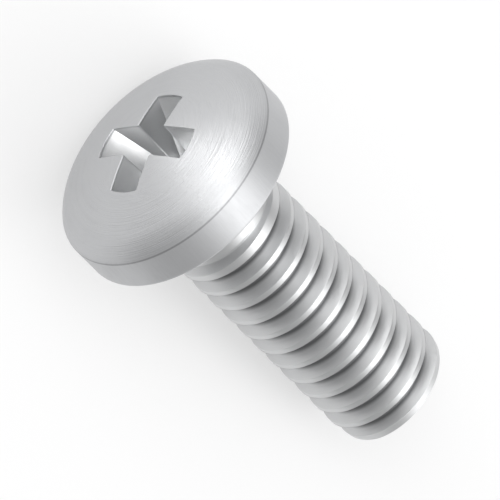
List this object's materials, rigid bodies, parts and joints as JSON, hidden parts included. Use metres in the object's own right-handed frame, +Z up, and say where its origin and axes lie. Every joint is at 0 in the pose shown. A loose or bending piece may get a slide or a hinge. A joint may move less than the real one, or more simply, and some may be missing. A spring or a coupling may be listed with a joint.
{
  "type": "machine screw",
  "caption": "Pan head machine screw with a cross recess in its domed head and a coarse right-hand thread on a short shank.",
  "frame": {"origin": "on the surface that the screw lies on, under the middle of its bounding box", "axes": "+X runs along the screw towards its tip and Z is up; the screw lies at rest on the rim of its head and its last thread, so its own axis dips 10.01 degrees below +X"},
  "size_m": [0.0138, 0.0078, 0.008],
  "materials": {
    "steel": "satin, as headed and rolled stainless steel, a little brighter in the punched recess and darker at the thread's root"
  },
  "bodies": {
    "root": {"machine_screw": "steel"}
  },
  "joints": []
}
